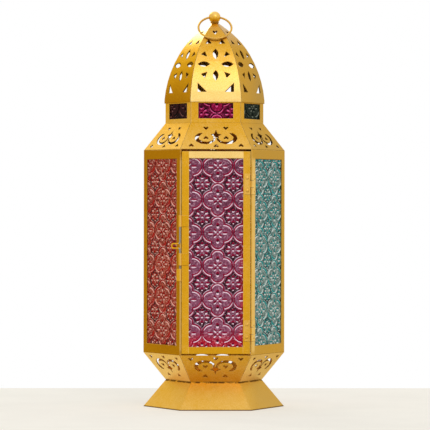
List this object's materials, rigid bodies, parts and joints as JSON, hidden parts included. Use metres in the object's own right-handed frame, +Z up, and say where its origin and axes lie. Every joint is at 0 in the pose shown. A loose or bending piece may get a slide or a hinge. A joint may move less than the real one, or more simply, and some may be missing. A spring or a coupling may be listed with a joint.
{
  "type": "candle lantern",
  "caption": "Hexagonal gold-painted sheet-metal candle lantern: pressed coloured glass, pierced collar, shoulder and dome, hinged glazed door with a slide bolt, and a swinging hanging ring.",
  "frame": {"origin": "centre of the hexagonal foot, at the level of its lower edge", "axes": "+Z up along the lantern's axis, the door on the -Y side, its hinges on the +X side"},
  "size_m": [0.1408, 0.1255, 0.3945],
  "materials": {
    "gold_paint": "satin gold paint",
    "steel_wire": "drawn wire",
    "glass_pink": "pressed relief",
    "glass_red": "pressed relief",
    "glass_teal": "pressed relief"
  },
  "bodies": {
    "lantern": {"foot_skirt": "gold_paint", "floor_plate": "gold_paint", "candle_cup": "gold_paint", "collar_panel_front": "gold_paint", "collar_panel_front_right": "gold_paint", "collar_panel_back_right": "gold_paint", "collar_panel_back": "gold_paint", "collar_panel_back_left": "gold_paint", "collar_panel_front_left": "gold_paint", "window_frame_front_right": "gold_paint", "window_frame_back_right": "gold_paint", "window_frame_back": "gold_paint", "window_frame_back_left": "gold_paint", "window_frame_front_left": "gold_paint", "glass_pane_front_right": "glass_teal", "glass_pane_back_right": "glass_red", "glass_pane_back": "glass_pink", "glass_pane_back_left": "glass_teal", "glass_pane_front_left": "glass_red", "shoulder_panel_front": "gold_paint", "shoulder_panel_front_right": "gold_paint", "shoulder_panel_back_right": "gold_paint", "shoulder_panel_back": "gold_paint", "shoulder_panel_back_left": "gold_paint", "shoulder_panel_front_left": "gold_paint", "neck_glass_front": "glass_pink", "neck_glass_front_right": "glass_teal", "neck_glass_back_right": "glass_red", "neck_glass_back": "glass_pink", "neck_glass_back_left": "glass_teal", "neck_glass_front_left": "glass_red", "dome_petal_front": "gold_paint", "dome_petal_front_right": "gold_paint", "dome_petal_back_right": "gold_paint", "dome_petal_back": "gold_paint", "dome_petal_back_left": "gold_paint", "dome_petal_front_left": "gold_paint", "glass_clips": "gold_paint", "finial": "gold_paint", "dome_washer": "gold_paint", "hinge_frame_leaf_upper": "gold_paint", "hinge_frame_leaf_lower": "gold_paint", "hinge_pins": "steel_wire", "latch_keeper": "gold_paint"},
    "door": {"door_stile_hinge": "gold_paint", "door_stile_latch": "gold_paint", "door_rail_top": "gold_paint", "door_rail_bottom": "gold_paint", "door_glass": "glass_pink", "door_glass_clips": "gold_paint", "hinge_door_leaf_upper": "gold_paint", "hinge_door_leaf_lower": "gold_paint", "latch_guide_lower": "gold_paint", "latch_guide_upper": "gold_paint"},
    "latch_bolt": {"latch_bolt": "steel_wire"},
    "hanging_ring": {"hanging_ring": "gold_paint"}
  },
  "joints": [
    {"name": "door_hinge", "type": "hinge", "parent": "lantern", "child": "door", "pos_m": [0.03525, -0.06295, 0.15], "axis": [0, 0, 1], "range_deg": [0, 220]},
    {"name": "latch_bolt_slide", "type": "slide", "parent": "door", "child": "latch_bolt", "axis": [0, 0, 1], "range_m": [-0.0036, 0.0135]},
    {"name": "ring_swing", "type": "hinge", "parent": "lantern", "child": "hanging_ring", "pos_m": [0, 0, 0.3887], "axis": [-1, 0, 0], "range_deg": [0, 268]}
  ]
}
